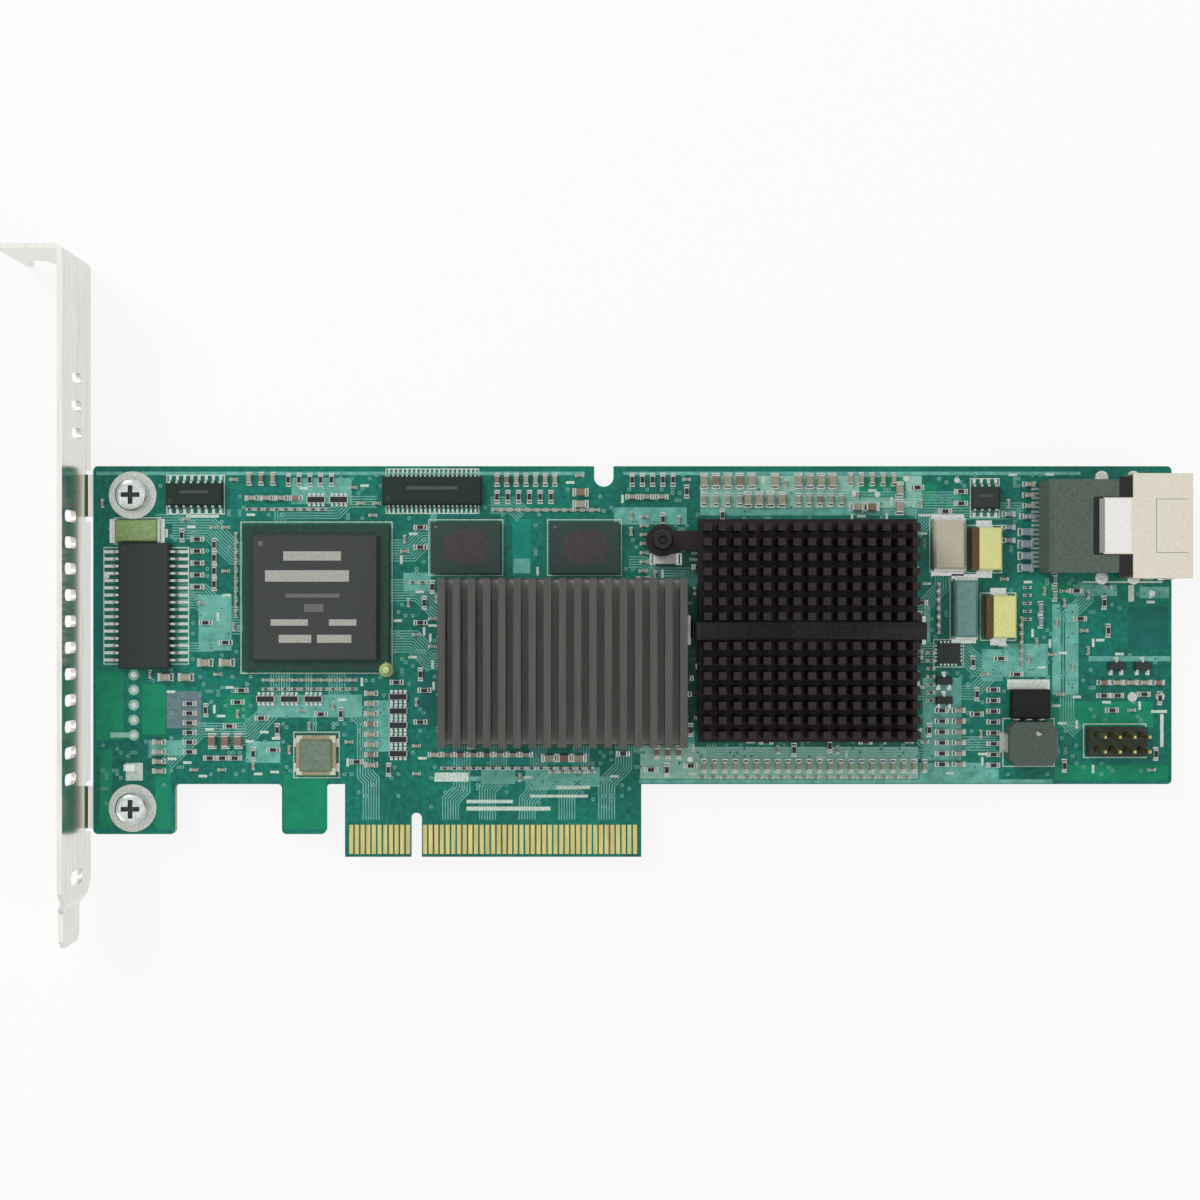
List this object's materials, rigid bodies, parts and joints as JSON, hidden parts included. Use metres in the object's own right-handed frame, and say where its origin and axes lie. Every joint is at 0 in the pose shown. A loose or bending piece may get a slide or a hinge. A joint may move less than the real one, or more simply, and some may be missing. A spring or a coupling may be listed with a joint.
{
  "type": "raid controller card",
  "caption": "Half-height raid controller card with a full-height vented bracket, finned and pin heat sinks, an edge connector and a drive cable receptacle.",
  "frame": {"origin": "middle of the key notch, at the lower edge of the contact fingers, half way through the board's thickness", "axes": "+X along the board from the bracket to the far end, +Y up the card away from the slot, +Z out of the component side"},
  "size_m": [0.2039, 0.12, 0.0184],
  "materials": {
    "solder_masked_board": "green solder mask over glass-fibre laminate",
    "gold_plating": "hard gold over nickel",
    "nickel_plated_steel": "satin nickel plating",
    "zinc_plated_steel": "bright zinc",
    "tin_plating": "bright tin",
    "solder": "reflowed solder",
    "package_substrate": "green package laminate",
    "mould_compound": "matt black epoxy",
    "memory_mould_compound": "matt dark epoxy",
    "thermal_pad": "grey silicone pad",
    "grey_anodised_aluminium": "matt grey anodising",
    "black_anodised_aluminium": "matt black anodising",
    "black_spring_steel": "black oxide",
    "black_nylon": "moulded nylon",
    "black_thermoplastic": "glass-filled plastic",
    "shell_nickel": "bright nickel plating",
    "tinned_copper": "tinned lead frame",
    "grey_ferrite": "pressed iron powder",
    "tantalum_yellow": "moulded yellow epoxy",
    "film_beige": "moulded beige plastic",
    "choke_grey": "moulded grey plastic",
    "fuse_olive": "olive polymer sheet",
    "white_ceramic": "fired alumina",
    "kovar_lid": "gold-tinted metal lid",
    "capacitor_ceramic": "barium titanate, tan",
    "resistor_glass": "black glass coat"
  },
  "bodies": {
    "root": {"back_capacitors": "capacitor_ceramic", "bracket": "nickel_plated_steel", "bracket_screw_lower": "zinc_plated_steel", "bracket_screw_upper": "zinc_plated_steel", "bridge_chip": "mould_compound", "bridge_thermal_pad": "thermal_pad", "bus_driver": "mould_compound", "bus_driver_leads": "tinned_copper", "chip_capacitors_large": "capacitor_ceramic", "chip_capacitors_medium": "capacitor_ceramic", "circuit_board": "solder_masked_board", "clip_anchors": "tin_plating", "clock_buffer": "mould_compound", "controller_chip": "mould_compound", "controller_thermal_pad": "thermal_pad", "edge_contacts_back": "gold_plating", "edge_contacts_front": "gold_plating", "film_capacitor": "film_beige", "filter_choke": "choke_grey", "finned_heatsink": "grey_anodised_aluminium", "flash_memory": "mould_compound", "flash_memory_leads": "tinned_copper", "heatsink_clip": "black_spring_steel", "heatsink_push_pin": "black_nylon", "logic_chip": "mould_compound", "logic_chip_leads": "tinned_copper", "memory_chip_left": "memory_mould_compound", "memory_chip_right": "memory_mould_compound", "monitor_chip": "mould_compound", "monitor_chip_leads": "tinned_copper", "oscillator_base": "white_ceramic", "oscillator_lid": "kovar_lid", "pin_header_base": "black_thermoplastic", "pin_header_posts": "gold_plating", "pin_heatsink": "black_anodised_aluminium", "power_inductor": "grey_ferrite", "processor_cap": "mould_compound", "processor_solder_balls": "solder", "processor_substrate": "package_substrate", "receptacle_contacts": "gold_plating", "receptacle_housing": "black_thermoplastic", "receptacle_shell": "shell_nickel", "receptacle_solder_tails": "tinned_copper", "regulator_body": "mould_compound", "regulator_tab": "tinned_copper", "resettable_fuse": "fuse_olive", "resistor_arrays": "resistor_glass", "small_transistors": "mould_compound", "status_led": "white_ceramic", "tantalum_capacitor_lower": "tantalum_yellow", "tantalum_capacitor_upper": "tantalum_yellow", "tantalum_terminals": "tinned_copper"}
  },
  "joints": []
}
